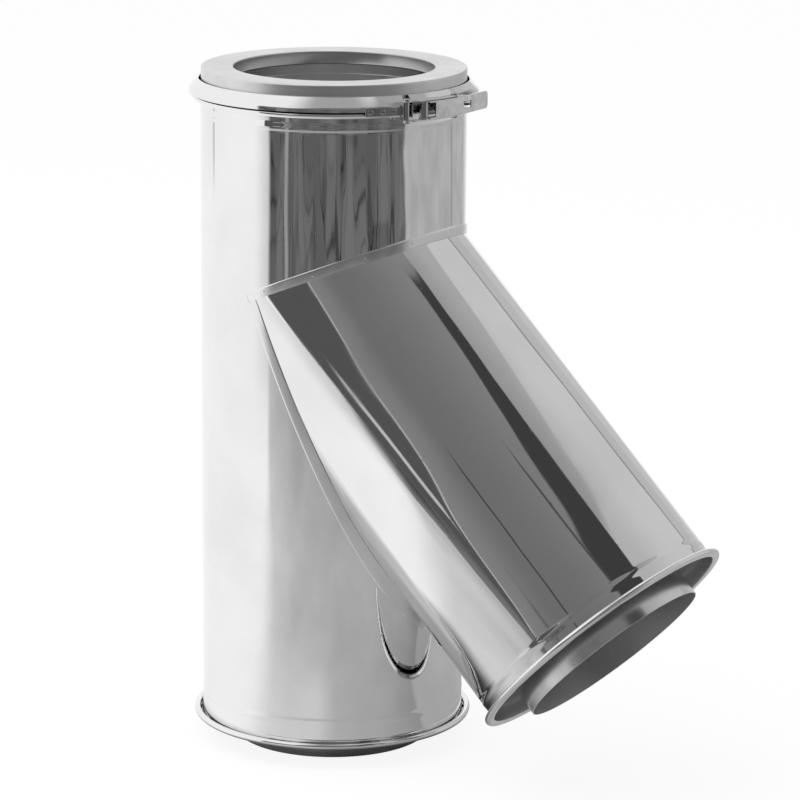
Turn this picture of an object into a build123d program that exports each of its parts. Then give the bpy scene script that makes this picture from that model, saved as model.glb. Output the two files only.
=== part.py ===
from math import cos, degrees, radians, sin, sqrt, tan
import os

from build123d import *

os.makedirs("parts", exist_ok=True)

# Twin-wall flue lateral, millimetres. The run stands on its spigot with its axis on Z,
# and the branch leaves it towards +X and down. The origin is the centre of the spigot end.

# Pipes
flue_od = 150.0
casing_bore = 200.0
liner_sheet = 0.5
casing_sheet = 0.5
ring_sheet = 0.6

# Run, measured between its two rim planes
run_spigot_reach = 16.0
run_length = 485.0
ring_rise = 19.0

# Branch, measured along its axis from where the two axes cross
branch_angle = 45.0
branch_height = 358.0
branch_reach = 346.0
branch_spigot_reach = 12.5

# Spigot and socket of the liner
spigot_reduction = 0.2
spigot_clearance = 0.85
lip_depth = 10.0
mouth_depth = 17.0
socket_depth = 45.0
neck_length = 4.0
spigot_shoulder = 3.0

# Closure rings
ring_clearance = 0.1
ring_skirt = 9.0
ring_recess = 20.0

# Rolled rims and swaged beads of the casing
rim_width = 6.5
curl_radius = 2.4
rim_root = 8.0
bead_height = 0.7
bead_half_width = 3.5
top_bead_back = 13.0
bottom_bead_back = 20.0
branch_bead_back = 14.0

# Lap of the branch on the run
lap_sheet = 0.7
lap_width = 7.0
lap_root = 1.6

# Insulation
wool_clearance = 0.2

# Locking band
rim_gap = 0.8
band_sheet = 0.8
band_grip = 0.25
band_room = 1.4
band_leg = 6.6
band_left_end = 63.3
band_right_end = 66.6

# Latch: angles run round the axis, from the -Y side towards the branch
strap_sheet = 1.0
strap_half_width = 3.2
catch_start = 46.5
catch_pin_angle = 62.6
pivot_angle = 70.0
link_pin_angle = 86.0
hook_clearance = 0.4
hook_play = 1.1
hook_wall = 1.0
hook_height = 4.4
hook_half_width = 4.6
ear_height = 3.4
catch_pin_radius = 2.0
pivot_pin_radius = 2.0
pivot_rise = 2.8
link_pin_radius = 1.5
pin_head_radius = 2.7
pin_head_height = 1.2
running_clearance = 0.05
pin_seat = 0.02
knuckle_wall = 1.1
fulcrum_half_width = 4.5
knuckle_half_width = 5.2
fulcrum_end = 84.0
fulcrum_rivet_angles = (76.6, 81.0)
catch_rivet_angles = (48.6, 53.6, 58.2)
rivet_head_radius = 2.3
rivet_head_height = 0.8
rivet_crown_radius = 1.5

# Lever and link
lever_half_width = 6.5
lever_sheet = 1.0
lever_web_rise = 7.6
lever_web_start = 73.8
lever_bend_angle = 97.0
lever_tip_angle = 105.0
lever_tip_lift = 3.0
lever_tip_corner = 3.2
cheek_rise = 1.4
cheek_end = 92.0
cheek_boss = 3.8
slot_start = 88.6
slot_end = 93.6
slot_half_height = 2.6
link_sheet = 1.1
link_gap = 0.3
link_half_width = 2.6
link_end_radius = 3.2
staple_angle = 91.1
staple_wire = 0.7
staple_span = 3.2
staple_rise = 9.4

# Values worked out from the ones above
casing_ir = casing_bore / 2
casing_or = casing_ir + casing_sheet
liner_or = flue_od / 2
liner_ir = liner_or - liner_sheet
spigot_or = liner_or - spigot_reduction
socket_ir = spigot_or + spigot_clearance
lip_or = socket_ir + ring_sheet
spigot_back = ring_recess - ring_sheet
mouth_ir = lip_or + ring_clearance
rim_or = casing_or + rim_width
bottom_rim = run_spigot_reach
top_rim = bottom_rim + run_length
ring_top = top_rim + ring_rise
socket_bottom = ring_top - socket_depth
mouth_bottom = ring_top - mouth_depth
branch_end = branch_reach + branch_spigot_reach
half_angle = branch_angle / 2
wedge_size = 2 * (branch_end + rim_or)
band_height = top_rim + rim_gap / 2
band_ir = rim_or + band_room
band_or = band_ir + band_sheet
strap_or = band_or + strap_sheet
catch_pin_r = strap_or + hook_clearance + catch_pin_radius
pivot_r = strap_or + pivot_rise
link_inner = lever_half_width + link_gap
link_outer = link_inner + link_sheet


def polar(radius, angle):
    """A point in plan, its angle counted from the -Y side towards the branch."""
    return (radius * sin(radians(angle)), -radius * cos(radians(angle)))


def radial_plane(angle, height=0):
    """A section plane through the run's axis: x runs outwards, y runs up."""
    x, y = polar(1, angle)
    return Plane(origin=(0, 0, height), x_dir=(x, y, 0), z_dir=(y, -x, 0))


def tangent_plane(angle, radius, height):
    """A plane that faces outwards from the run: y runs up."""
    x, y = polar(1, angle)
    return Plane(origin=(radius * x, radius * y, height), x_dir=(-y, x, 0), z_dir=(x, y, 0))


# Section planes of the three ends: x runs outwards from the axis, y out of the end
branch_dir = Vector(sin(radians(branch_angle)), 0, -cos(radians(branch_angle)))
branch_out = Vector(cos(radians(branch_angle)), 0, sin(radians(branch_angle)))
crossing = Vector(0, 0, branch_height)
branch_axis = Axis(crossing, branch_dir)
branch_section = Plane(origin=crossing, x_dir=branch_out, z_dir=(0, 1, 0))
top_end = Plane(origin=(0, 0, top_rim), x_dir=(1, 0, 0), z_dir=(0, -1, 0))
bottom_end = Plane(origin=(0, 0, bottom_rim), x_dir=(1, 0, 0), z_dir=(0, 1, 0))
branch_mouth = Plane(origin=crossing + branch_dir * branch_reach, x_dir=branch_out, z_dir=(0, 1, 0))


def wedge(margin):
    """The branch's side of the two mitre planes, with both planes moved out by margin."""
    turn = radians(half_angle)
    corner_x = -margin * (sin(turn) + cos(turn))
    corner_z = branch_height + margin * (cos(turn) - sin(turn))
    with BuildPart() as space:
        with BuildSketch(Plane.XZ):
            with Locations((corner_x, corner_z)):
                Rectangle(wedge_size, wedge_size, rotation=half_angle, align=(Align.MIN, Align.MAX))
        extrude(amount=2 * rim_or, both=True)
    return space.part


def tube_section(inner, outer, start, end):
    """Plain wall of a pipe in a section plane."""
    with BuildSketch() as wall:
        with Locations(((inner + outer) / 2, (start + end) / 2)):
            Rectangle(outer - inner, end - start)
    return wall.sketch


def rim_section():
    """Casing wall turned out flat at the mouth plane and curled back tight on itself."""
    centre = (rim_or - curl_radius, -curl_radius)
    curl = [
        (centre[0] + curl_radius * cos(radians(turn)), centre[1] + curl_radius * sin(radians(turn)))
        for turn in range(90, -91, -60)
    ]
    with BuildSketch() as rim:
        with BuildLine():
            Polyline(
                (casing_ir, -rim_root),
                (casing_ir, 0),
                *curl,
                (centre[0], -casing_sheet),
                (casing_or, -casing_sheet),
                (casing_or, -rim_root),
                close=True,
            )
        make_face()
    return rim.sketch


def beaded_wall(start, end, beads):
    """Casing wall between two rims, with a shallow swaged bead at each named place."""
    ridges = []
    for middle in beads:
        ridges += [
            (casing_or, middle - bead_half_width),
            (casing_or + bead_height, middle),
            (casing_or, middle + bead_half_width),
        ]
    outside = [(casing_or, start), *ridges, (casing_or, end)]
    inside = [(radius - casing_sheet, height) for radius, height in reversed(outside)]
    with BuildSketch() as wall:
        with BuildLine():
            Polyline(*outside, *inside, close=True)
        make_face()
    return wall.sketch


def top_ring_section():
    """Pressed ring of the socket end: outer skirt, flat face and inner lip."""
    outer = casing_ir - ring_clearance
    with BuildSketch() as ring:
        with BuildLine():
            Polyline(
                (outer - ring_sheet, -ring_skirt),
                (outer, -ring_skirt),
                (outer, ring_rise),
                (socket_ir, ring_rise),
                (socket_ir, ring_rise - lip_depth),
                (lip_or, ring_rise - lip_depth),
                (lip_or, ring_rise - ring_sheet),
                (outer - ring_sheet, ring_rise - ring_sheet),
                close=True,
            )
        make_face()
    return ring.sketch


def spigot_ring_section():
    """Ring between the two walls of a spigot end, set back from the mouth plane, with an outer skirt."""
    outer = casing_ir - ring_clearance
    with BuildSketch() as ring:
        with BuildLine():
            Polyline(
                (liner_or + ring_clearance, -ring_recess),
                (outer, -ring_recess),
                (outer, -ring_recess - ring_skirt),
                (outer - ring_sheet, -ring_recess - ring_skirt),
                (outer - ring_sheet, -ring_recess - ring_sheet),
                (liner_or + ring_clearance, -ring_recess - ring_sheet),
                close=True,
            )
        make_face()
    return ring.sketch


def spigot_section(reach):
    """End of a liner, drawn in slightly from its closure ring outwards so that it enters a socket."""
    with BuildSketch() as spigot:
        with BuildLine():
            Polyline(
                (liner_or, -spigot_back - spigot_shoulder),
                (spigot_or, -spigot_back),
                (spigot_or, reach),
                (spigot_or - liner_sheet, reach),
                (spigot_or - liner_sheet, -spigot_back),
                (liner_ir, -spigot_back - spigot_shoulder),
                close=True,
            )
        make_face()
    return spigot.sketch


def sector(inner, outer, start, end):
    """Ring sector in plan."""
    with BuildSketch() as piece:
        with BuildLine():
            CenterArc((0, 0), inner, start - 90, end - start)
            CenterArc((0, 0), outer, start - 90, end - start)
            Line(polar(inner, start), polar(outer, start))
            Line(polar(inner, end), polar(outer, end))
        make_face()
    return piece.sketch


with BuildPart() as run_casing:
    with BuildSketch(Plane.XZ):
        beads = (bottom_rim + bottom_bead_back, top_rim - top_bead_back)
        add(beaded_wall(bottom_rim + rim_root, top_rim - rim_root, beads))
    revolve(axis=Axis.Z)
    for end_plane in (bottom_end, top_end):
        with BuildSketch(end_plane):
            add(rim_section())
        revolve(axis=Axis.Z)
    add(wedge(0), mode=Mode.SUBTRACT)

with BuildPart() as branch_lap:
    with BuildSketch(Plane.XZ):
        add(tube_section(casing_or, casing_or + lap_sheet, bottom_rim, top_rim))
    revolve(axis=Axis.Z)
    add(wedge(lap_width), mode=Mode.INTERSECT)
    add(wedge(0), mode=Mode.SUBTRACT)

with BuildPart() as branch_root:
    with BuildSketch(branch_section):
        add(tube_section(casing_ir, casing_or + lap_sheet, -lap_width, branch_reach - rim_root))
    revolve(axis=branch_axis)
    add(wedge(0), mode=Mode.INTERSECT)
    add(wedge(-lap_root), mode=Mode.SUBTRACT)

with BuildPart() as branch_casing:
    with BuildSketch(branch_section):
        add(beaded_wall(-lap_width, branch_reach - rim_root, (branch_reach - branch_bead_back,)))
    revolve(axis=branch_axis)
    with BuildSketch(branch_mouth):
        add(rim_section())
    revolve(axis=branch_axis)
    add(wedge(0), mode=Mode.INTERSECT)
    add(branch_root.part)
    add(branch_lap.part)

with BuildPart() as run_liner:
    with BuildSketch(bottom_end):
        add(spigot_section(run_spigot_reach))
    revolve(axis=Axis.Z)
    with BuildSketch(Plane.XZ):
        start = bottom_rim + spigot_back + spigot_shoulder
        neck = socket_bottom - neck_length
        mouth_top = ring_top - 2 * ring_sheet
        add(tube_section(liner_ir, liner_or, start, neck))
        add(tube_section(socket_ir, socket_ir + liner_sheet, socket_bottom, mouth_bottom))
        add(tube_section(mouth_ir, mouth_ir + liner_sheet, mouth_bottom, mouth_top))
        with BuildLine():
            Polyline(
                (liner_ir, neck),
                (liner_or, neck),
                (socket_ir + liner_sheet, socket_bottom),
                (socket_ir, socket_bottom),
                close=True,
            )
        make_face()
        add(tube_section(socket_ir, mouth_ir + liner_sheet, mouth_bottom - liner_sheet, mouth_bottom))
    revolve(axis=Axis.Z)
    add(wedge(0), mode=Mode.SUBTRACT)

with BuildPart() as branch_liner:
    with BuildSketch(branch_section):
        branch_spigot_start = branch_reach - spigot_back - spigot_shoulder
        add(tube_section(liner_ir, liner_or, -lap_width, branch_spigot_start))
    revolve(axis=branch_axis)
    with BuildSketch(branch_mouth):
        add(spigot_section(branch_spigot_reach))
    revolve(axis=branch_axis)
    add(wedge(0), mode=Mode.INTERSECT)

with BuildPart() as top_ring:
    with BuildSketch(top_end):
        add(top_ring_section())
    revolve(axis=Axis.Z)

with BuildPart() as bottom_ring:
    with BuildSketch(bottom_end):
        add(spigot_ring_section())
    revolve(axis=Axis.Z)

with BuildPart() as branch_ring:
    with BuildSketch(branch_mouth):
        add(spigot_ring_section())
    revolve(axis=branch_axis)

# Wool fills the space between the two pipes and stops short of the rings and the socket
wool_or = casing_ir - ring_clearance - ring_sheet - wool_clearance
wool_ir = liner_or + wool_clearance
socket_room = mouth_ir + liner_sheet + wool_clearance
wool_bottom = bottom_rim + ring_recess + ring_sheet + wool_clearance
wool_top = ring_top - ring_sheet - wool_clearance
wool_end = branch_reach - ring_recess - ring_sheet - wool_clearance

with BuildPart() as run_insulation:
    with BuildSketch(Plane.XZ):
        add(tube_section(socket_room, wool_or, wool_bottom, wool_top))
    revolve(axis=Axis.Z)
    add(wedge(0), mode=Mode.SUBTRACT)

with BuildPart() as branch_insulation:
    with BuildSketch(branch_section):
        add(tube_section(wool_ir, wool_or, -lap_width, wool_end))
    revolve(axis=branch_axis)
    add(wedge(0), mode=Mode.INTERSECT)

# The lower leg of the band lies along the curl of the upper rim, and the upper leg mirrors it
leg_offset = rim_or - top_rim + sqrt(2) * (curl_radius + band_grip)
band_flat = band_height - (band_ir - leg_offset) + band_sheet * tan(radians(22.5))

with BuildPart() as locking_band:
    with BuildSketch(radial_plane(band_right_end, band_height)):
        with BuildLine():
            Polyline(
                (band_or - band_leg, -band_flat - band_leg),
                (band_or, -band_flat),
                (band_or, band_flat),
                (band_or - band_leg, band_flat + band_leg),
            )
            offset(amount=band_sheet, side=Side.LEFT, kind=Kind.INTERSECTION)
        make_face()
    revolve(axis=Axis.Z, revolution_arc=360 - (band_right_end - band_left_end))


def upright(plan, half_width, height=band_height):
    """A plan outline made solid, as deep above the band's middle as below it."""
    with BuildPart() as body:
        with BuildSketch(Plane.XY.offset(height)):
            add(plan)
        extrude(amount=half_width, both=True)
    return body.part


def turn_by(length, radius):
    """Angle in degrees that a length makes along an arc."""
    return degrees(length / radius)


hook_thick = turn_by(hook_wall, catch_pin_r)
ear_end = catch_pin_angle - turn_by(catch_pin_radius + hook_clearance, catch_pin_r)
ear_start = ear_end - hook_thick
hook_start = catch_pin_angle + turn_by(catch_pin_radius + hook_play, catch_pin_r)
hook_end = hook_start + hook_thick

with BuildPart() as catch_bracket:
    add(upright(sector(band_or, strap_or, catch_start, ear_end), strap_half_width))
    add(upright(sector(band_or, strap_or, ear_start - hook_thick, hook_end), hook_half_width))
    add(upright(sector(band_or, strap_or + hook_height, hook_start, hook_end), hook_half_width))
    add(upright(sector(band_or, strap_or + ear_height, ear_start, ear_end), lever_half_width))

with BuildPart() as fulcrum_bracket:
    add(upright(sector(band_or, strap_or, pivot_angle, fulcrum_end), fulcrum_half_width))
    with BuildSketch(Plane.XY.offset(band_height)):
        with Locations(polar(pivot_r, pivot_angle)):
            Circle(pivot_pin_radius + running_clearance + knuckle_wall)
    extrude(amount=knuckle_half_width, both=True)
    with BuildSketch(Plane.XY.offset(band_height)):
        with Locations(polar(pivot_r, pivot_angle)):
            Circle(pivot_pin_radius + running_clearance)
    extrude(amount=2 * knuckle_half_width, both=True, mode=Mode.SUBTRACT)
    with BuildSketch(Plane.XY.offset(band_height)):
        Circle(band_or)
    extrude(amount=2 * knuckle_half_width, both=True, mode=Mode.SUBTRACT)


# Set rivet heads on the two straps, their shanks closed up in the band
with BuildPart() as band_rivets:
    for rivet_angle in catch_rivet_angles + fulcrum_rivet_angles:
        with Locations(tangent_plane(rivet_angle, strap_or, band_height)):
            head_align = (Align.CENTER, Align.CENTER, Align.MIN)
            Cone(rivet_head_radius, rivet_crown_radius, rivet_head_height, align=head_align)


def pin(steps, radius, angle):
    """Upright pin through the latch: each step is its radius and the heights that it runs between."""
    x, y = polar(radius, angle)
    with BuildPart() as body:
        for step_radius, start, end in steps:
            with Locations((x, y, band_height + (start + end) / 2)):
                Cylinder(step_radius, end - start)
    return body.part


with BuildPart() as pivot_pin:
    pivot_pin_steps = [(pivot_pin_radius, -lever_half_width, lever_half_width)]
    add(pin(pivot_pin_steps, pivot_r, pivot_angle))

with BuildPart() as catch_pin:
    catch_pin_end = link_outer + pin_head_height
    catch_pin_steps = [
        (pin_head_radius, -catch_pin_end, -link_outer),
        (catch_pin_radius, -link_outer, link_outer),
        (pin_head_radius, link_outer, catch_pin_end),
    ]
    add(pin(catch_pin_steps, catch_pin_r, catch_pin_angle))

with BuildPart() as link_pin:
    link_pin_steps = [
        (pin_head_radius, -link_outer - pin_head_height, -link_outer),
        (link_pin_radius, -link_outer, link_outer),
        (pin_head_radius, link_outer, link_outer + pin_head_height),
    ]
    add(pin(link_pin_steps, pivot_r, link_pin_angle))

# Lever: a curved channel with its web outside, cheeks inside, and a lifted tip
web_or = strap_or + lever_web_rise
web_ir = web_or - lever_sheet
tip_ir = web_ir + lever_tip_lift
cheek_ir = strap_or + cheek_rise


def short_tip_edge(edge):
    """True for the two short edges at the corners of the lever's tip."""
    away = edge.center() - tip_middle
    in_plan = sqrt(away.X**2 + away.Y**2)
    return in_plan < lever_sheet / 4 and abs(abs(away.Z) - lever_half_width) < lever_sheet / 4


tip_middle = Vector(*polar(tip_ir + lever_sheet / 2, lever_tip_angle), band_height)

with BuildPart() as lever:
    with BuildSketch(Plane.XY.offset(band_height)):
        add(sector(web_ir, web_or, lever_web_start, lever_bend_angle))
        with BuildLine():
            Polyline(
                polar(web_ir, lever_bend_angle),
                polar(web_or, lever_bend_angle),
                polar(tip_ir + lever_sheet, lever_tip_angle),
                polar(tip_ir, lever_tip_angle),
                close=True,
            )
        make_face()
    extrude(amount=lever_half_width, both=True)
    with BuildSketch(Plane.XY.offset(band_height - lever_half_width)) as cheek:
        add(sector(cheek_ir, web_or, pivot_angle + 1, cheek_end))
        with Locations(polar(pivot_r, pivot_angle)):
            Circle(cheek_boss)
        with Locations(polar(pivot_r, pivot_angle)):
            Circle(pivot_pin_radius + pin_seat, mode=Mode.SUBTRACT)
        with Locations(polar(pivot_r, link_pin_angle)):
            Circle(link_pin_radius + running_clearance, mode=Mode.SUBTRACT)
    extrude(amount=lever_sheet)
    mirror(about=Plane.XY.offset(band_height))
    with BuildSketch(tangent_plane((slot_start + slot_end) / 2, web_ir - lever_sheet, band_height)):
        Rectangle(2 * web_or * sin(radians((slot_end - slot_start) / 2)), 2 * slot_half_height)
    extrude(amount=4 * lever_sheet, mode=Mode.SUBTRACT)
    fillet(lever.edges().filter_by(short_tip_edge), lever_tip_corner)

with BuildSketch() as link_plan:
    link_r = (catch_pin_r + pivot_r) / 2
    add(sector(link_r - link_half_width, link_r + link_half_width, catch_pin_angle, link_pin_angle))
    with Locations(polar(catch_pin_r, catch_pin_angle), polar(pivot_r, link_pin_angle)):
        Circle(link_end_radius)
    with Locations(polar(catch_pin_r, catch_pin_angle)):
        Circle(catch_pin_radius + pin_seat, mode=Mode.SUBTRACT)
    with Locations(polar(pivot_r, link_pin_angle)):
        Circle(link_pin_radius + pin_seat, mode=Mode.SUBTRACT)

with BuildPart() as link_plate_upper:
    with BuildSketch(Plane.XY.offset(band_height + link_inner)):
        add(link_plan.sketch)
    extrude(amount=link_sheet)

with BuildPart() as link_plate_lower:
    with BuildSketch(Plane.XY.offset(band_height - link_outer)):
        add(link_plan.sketch)
    extrude(amount=link_sheet)

# Wire eye welded on the band, which stands through the slot of the closed lever
with BuildPart() as seal_staple:
    staple_plane = Plane(
        origin=(0, 0, band_height),
        x_dir=(*polar(1, staple_angle), 0),
        z_dir=(0, 0, 1),
    )
    with BuildLine(staple_plane) as wire:
        half = staple_span / 2
        bend = band_or + staple_rise
        Polyline((band_or, -half), (bend, -half), (bend, half), (band_or, half))
    with BuildSketch(Plane(origin=wire.line @ 0, z_dir=wire.line % 0)):
        Circle(staple_wire)
    sweep(transition=Transition.RIGHT)

pieces = {
    "run_casing": run_casing,
    "branch_casing": branch_casing,
    "run_liner": run_liner,
    "branch_liner": branch_liner,
    "run_insulation": run_insulation,
    "branch_insulation": branch_insulation,
    "top_ring": top_ring,
    "bottom_ring": bottom_ring,
    "branch_ring": branch_ring,
    "locking_band": locking_band,
    "catch_bracket": catch_bracket,
    "fulcrum_bracket": fulcrum_bracket,
    "band_rivets": band_rivets,
    "pivot_pin": pivot_pin,
    "catch_pin": catch_pin,
    "link_pin": link_pin,
    "lever": lever,
    "link_plate_upper": link_plate_upper,
    "link_plate_lower": link_plate_lower,
    "seal_staple": seal_staple,
}
for name, piece in pieces.items():
    piece.part.label = name
    export_step(piece.part, f"parts/{name}.step")
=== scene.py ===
from math import cos, pi, radians, sin, tan

import bmesh
import bpy
from mathutils import Matrix, Vector


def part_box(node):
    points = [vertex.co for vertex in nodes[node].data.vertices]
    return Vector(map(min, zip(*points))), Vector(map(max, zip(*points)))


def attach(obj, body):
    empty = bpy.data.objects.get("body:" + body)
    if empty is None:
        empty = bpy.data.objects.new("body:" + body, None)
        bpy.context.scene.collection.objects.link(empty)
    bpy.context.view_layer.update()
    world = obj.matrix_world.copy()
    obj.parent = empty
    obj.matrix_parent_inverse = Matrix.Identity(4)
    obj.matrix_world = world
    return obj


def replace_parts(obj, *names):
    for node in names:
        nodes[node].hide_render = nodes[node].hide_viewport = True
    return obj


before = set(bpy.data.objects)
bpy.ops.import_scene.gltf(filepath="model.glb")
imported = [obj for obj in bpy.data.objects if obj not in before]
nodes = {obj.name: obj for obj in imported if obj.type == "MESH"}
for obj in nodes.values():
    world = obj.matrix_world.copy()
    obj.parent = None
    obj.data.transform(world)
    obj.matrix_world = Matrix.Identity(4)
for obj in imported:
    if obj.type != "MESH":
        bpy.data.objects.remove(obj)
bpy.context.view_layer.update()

# Sizes in metres, as in the CAD model, apart from the bead, which is a little wider and lower
MM = 0.001
casing_outer = 100.5 * MM
casing_sheet = 0.5 * MM
liner_outer = 75.0 * MM
liner_sheet = 0.5 * MM
spigot_outer = 74.8 * MM
socket_inner = 75.65 * MM
ring_sheet = 0.6 * MM
ring_outer = 99.9 * MM
rim_outer = 107.0 * MM
curl_outer = 2.4 * MM
rim_bend = 1.0 * MM
bead_height = 0.28 * MM
bead_half_width = 4.0 * MM
branch_tilt = radians(45)
mitre_turn = branch_tilt / 2
weld_reach = 0.004 * MM

ring_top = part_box("top_ring")[1].z
socket_top = ring_top - 2 * ring_sheet
top_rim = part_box("run_casing")[1].z
bottom_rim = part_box("run_casing")[0].z
crossing_height = 358.0 * MM
branch_reach = 346.0 * MM
branch_end = 358.5 * MM
band_middle = (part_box("locking_band")[0].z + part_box("locking_band")[1].z) / 2
band_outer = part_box("locking_band")[1].y
ROUND_STEPS = 288
LAP_STEPS = 160


# Helpers that build nodes
def put(tree, kind, values=(), **settings):
    """Adds a node, sets its settings, and links or sets the sockets named in values."""
    node = tree.nodes.new(kind)
    for name, value in settings.items():
        setattr(node, name, value)
    for socket, value in dict(values).items():
        if isinstance(value, bpy.types.NodeSocket):
            tree.links.new(value, node.inputs[socket])
        else:
            node.inputs[socket].default_value = value
    return node


def sum_of(tree, operation, *terms):
    """Result of a Math node on up to three numbers or sockets."""
    return put(tree, "ShaderNodeMath", enumerate(terms), operation=operation).outputs[0]


def blend_of(tree, operation, first, second, share=1.0):
    """Result of a colour Mix node."""
    values = {0: share, 6: first, 7: second}
    mix = put(tree, "ShaderNodeMix", values, data_type="RGBA", blend_type=operation)
    return mix.outputs[2]


def spread_of(tree, value, low, high, new_low=0.0, new_high=1.0):
    """A number moved smoothly from one range to another and held at its ends."""
    values = {0: value, 1: low, 2: high, 3: new_low, 4: new_high}
    return put(tree, "ShaderNodeMapRange", values, interpolation_type="SMOOTHSTEP").outputs[0]


def past(tree, value, start, soft):
    """0 up to a value and 1 past it, with a soft edge."""
    return spread_of(tree, value, start - soft, start + soft)


def short_of(tree, value, end, soft):
    """1 up to a value and 0 past it, with a soft edge."""
    return spread_of(tree, value, end - soft, end + soft, 1.0, 0.0)


def window(tree, value, low, high, soft):
    """1 between two values and 0 outside them, with soft edges."""
    return sum_of(tree, "MULTIPLY", past(tree, value, low, soft), short_of(tree, value, high, soft))


def all_of(tree, *shares):
    """Product of several shares: 1 only where each of them is 1."""
    if len(shares) == 1:
        return shares[0]
    return sum_of(tree, "MULTIPLY", shares[0], all_of(tree, *shares[1:]))


def turn_of(tree, parts):
    """Bearing in degrees from the front, rising towards the branch's side."""
    back = sum_of(tree, "MULTIPLY", parts[1], -1.0)
    return sum_of(tree, "DEGREES", sum_of(tree, "ARCTAN2", parts[0], back))


def grey(level):
    """Colour of a grey, with full opacity."""
    return (level, level, level, 1.0)


def placed(name, mesh):
    """An object for a mesh, linked into the scene at the origin."""
    piece = bpy.data.objects.new(name, mesh)
    bpy.context.scene.collection.objects.link(piece)
    return piece


# Outlines of sheet metal, to be turned round an axis
def arc(centre, radius, start, end, steps):
    """Points of an arc in (radius, height), angles in degrees."""
    turns = [radians(start + (end - start) * step / steps) for step in range(steps + 1)]
    return [(centre[0] + radius * cos(turn), centre[1] + radius * sin(turn)) for turn in turns]


def bead_bulge(height, beads):
    """How far the swaged beads push the wall out at a height."""
    bulge = 0.0
    for middle in beads:
        away = abs(height - middle) / bead_half_width
        if away < 1:
            bulge += bead_height * (0.5 + 0.5 * cos(pi * away))
    return bulge


def beaded_wall(radius, start, end, beads, wall_step=7 * MM, bead_step=0.6 * MM):
    """Points of a casing wall, close together only where a bead bends it."""
    points, height = [], start
    direction = 1 if end > start else -1
    while (end - height) * direction > 0:
        points.append((radius + bead_bulge(height, beads), height))
        near = any(abs(height - middle) < bead_half_width + wall_step for middle in beads)
        height += direction * (bead_step if near else wall_step)
    points.append((radius + bead_bulge(end, beads), end))
    return points


def rimmed_casing(mouth, beads, flange=rim_outer):
    """Closed outline of a casing wall that ends in a flange curled back on itself."""
    curl_centre = (flange - curl_outer, mouth - curl_outer)
    bend_centre = (casing_outer + rim_bend, mouth - casing_sheet - rim_bend)
    inside = casing_outer - casing_sheet
    outline = beaded_wall(casing_outer, 0, bend_centre[1], beads)
    outline += arc(bend_centre, rim_bend, 180, 90, 5)[1:]
    outline += arc(curl_centre, curl_outer - casing_sheet, 90, -165, 16)
    outline += arc(curl_centre, curl_outer, -165, 90, 18)
    outline += arc(bend_centre, rim_bend + casing_sheet, 90, 180, 6)
    outline += beaded_wall(inside, bend_centre[1], 0, beads)[1:]
    return outline


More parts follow.
